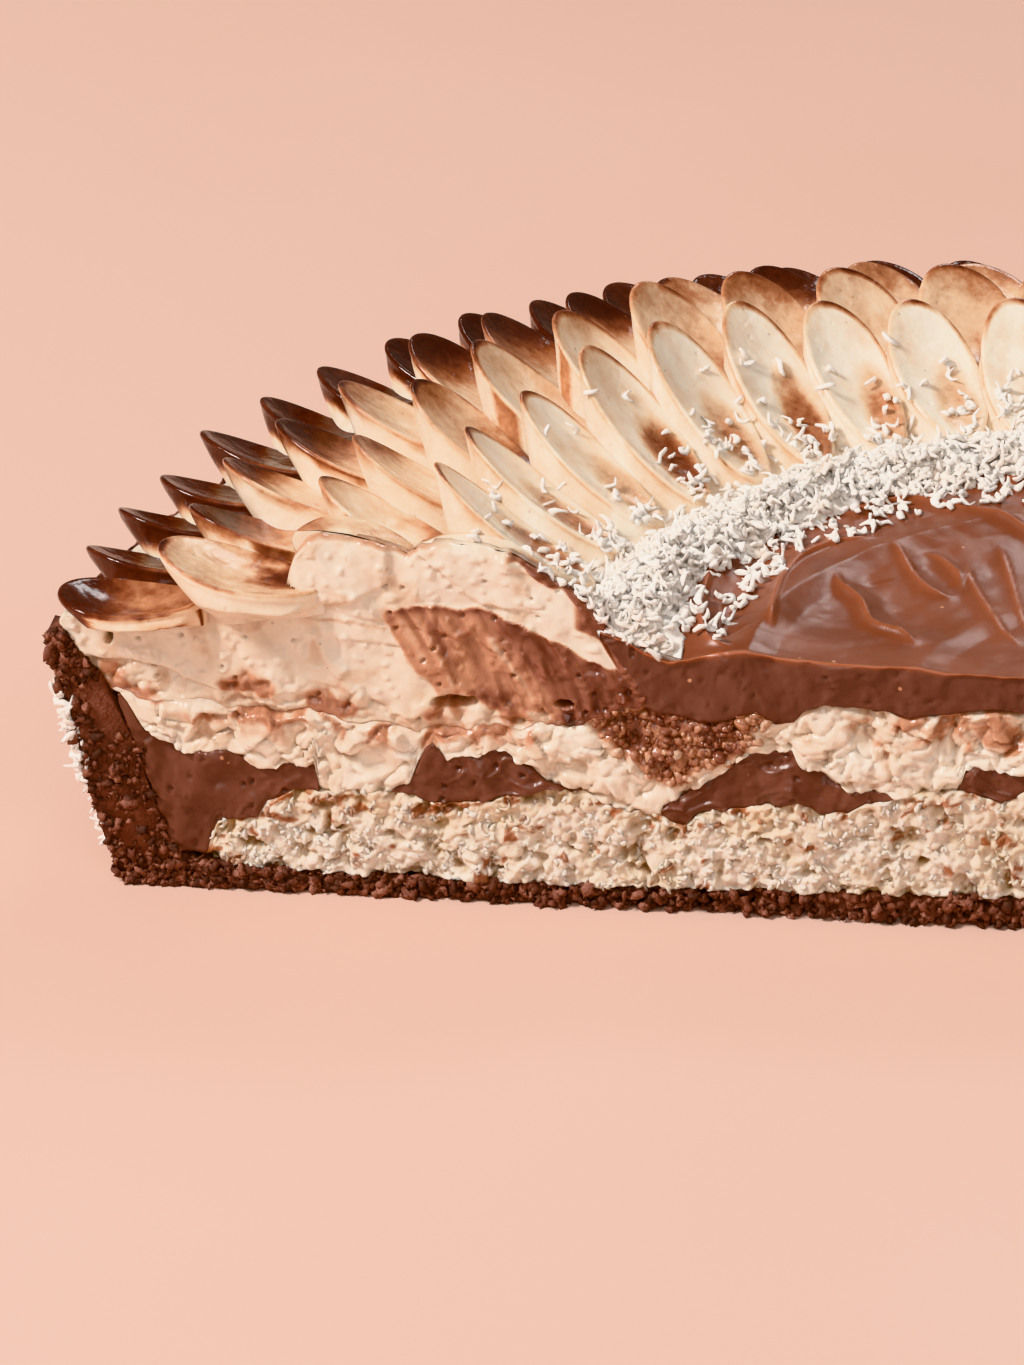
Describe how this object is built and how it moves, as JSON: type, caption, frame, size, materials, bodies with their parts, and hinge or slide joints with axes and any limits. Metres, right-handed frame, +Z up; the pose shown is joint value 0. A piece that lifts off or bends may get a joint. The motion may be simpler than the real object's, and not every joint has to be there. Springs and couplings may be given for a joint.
{
  "type": "chocolate coconut tart",
  "caption": "Half of a round tart cut across its layers: dark crumb crust, coconut cake, ganache, piped cream petals in rows and a ring of coconut.",
  "frame": {"origin": "under the middle of the half tart's bounding box, on the surface it stands on", "axes": "+X along the cut from left to right, +Y from the cut to the round back, +Z up"},
  "size_m": [0.24, 0.1246, 0.0519],
  "materials": {
    "crust": "matte, crumbly",
    "coconut_cake": "matte, coarse crumb",
    "ganache": "soft gloss",
    "cream_lower": "moist, curdled",
    "cream_upper": "moist, smooth",
    "petals": "soft gloss with dark streaks",
    "coconut": "matte, shredded"
  },
  "bodies": {
    "root": {"crust": "crust", "coconut_cake": "coconut_cake", "ganache_pool_wall": "ganache", "ganache_pool_outer": "ganache", "ganache_pool_inner": "ganache", "ganache_pool_middle": "ganache", "cream_lower": "cream_lower", "cream_upper": "cream_upper", "ganache_centre": "ganache", "coconut_ring": "coconut", "petal_row_1": "petals", "petal_row_2": "petals", "petal_row_3": "petals", "petal_row_4": "petals"}
  },
  "joints": []
}
